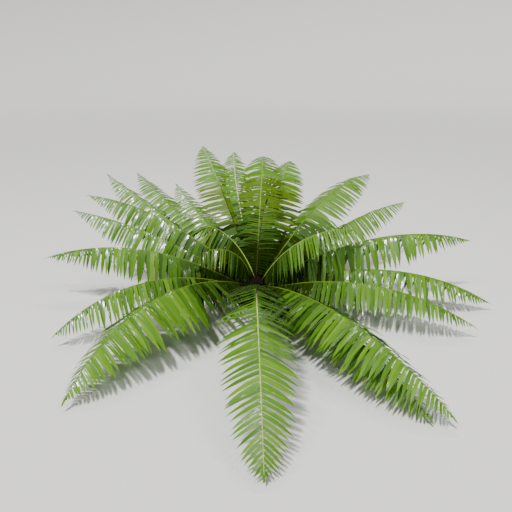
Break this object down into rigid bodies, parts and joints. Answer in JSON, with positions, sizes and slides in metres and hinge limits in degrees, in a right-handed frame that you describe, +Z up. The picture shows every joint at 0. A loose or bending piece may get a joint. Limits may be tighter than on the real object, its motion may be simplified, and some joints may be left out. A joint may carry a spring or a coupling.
{
  "type": "hard fern",
  "caption": "Evergreen garden fern rooted in the ground: a short scaly stem under a spreading crown of arching fronds, each a slim rib with leaflets down both sides.",
  "frame": {"origin": "middle of the stem's flat cut at ground level", "axes": "+Z up out of the ground, -Y towards the viewer of the picture, +X to the viewer's right"},
  "size_m": [1.1582, 1.1745, 0.3428],
  "materials": {
    "stem_scales": "rough brown scales and old stalk bases",
    "leaf_green": "leathery fresh green leaf with a soft gloss",
    "leaf_pale": "paler grey-green leaf with a soft gloss",
    "leaf_olive": "shaded olive leaf of the plant's heart"
  },
  "bodies": {
    "root": {"stem": "stem_scales", "frond_front_inner": "leaf_green", "frond_front_outer": "leaf_green", "frond_front_right_low": "leaf_green", "frond_front_right_high": "leaf_green", "frond_right_front": "leaf_green", "frond_right_low": "leaf_green", "frond_right_broad": "leaf_green", "frond_right_back_low": "leaf_pale", "frond_right_back_high": "leaf_pale", "frond_back_right": "leaf_pale", "frond_back_middle_inner": "leaf_pale", "frond_back_middle_outer": "leaf_pale", "frond_back_curled": "leaf_pale", "frond_back_left": "leaf_pale", "frond_left_back_inner": "leaf_pale", "frond_left_back_high": "leaf_pale", "frond_left_back_low": "leaf_pale", "frond_left_high": "leaf_green", "frond_left_middle": "leaf_green", "frond_left_broad": "leaf_green", "frond_left_front_inner": "leaf_green", "frond_left_front_outer": "leaf_green", "frond_front_left_inner": "leaf_green", "frond_front_left_outer": "leaf_green", "frond_heart_left_inner": "leaf_olive", "frond_heart_left_outer": "leaf_olive", "frond_heart_front_left_inner": "leaf_olive", "frond_heart_front_left_outer": "leaf_olive", "frond_heart_right_inner": "leaf_pale", "frond_heart_right_outer": "leaf_pale", "frond_heart_back": "leaf_olive", "frond_under_back_right_inner": "leaf_pale", "frond_under_back_right_outer": "leaf_pale", "frond_under_back_inner": "leaf_pale", "frond_under_back_outer": "leaf_pale", "frond_under_back_left_inner": "leaf_pale", "frond_under_back_left_outer": "leaf_pale"}
  },
  "joints": []
}
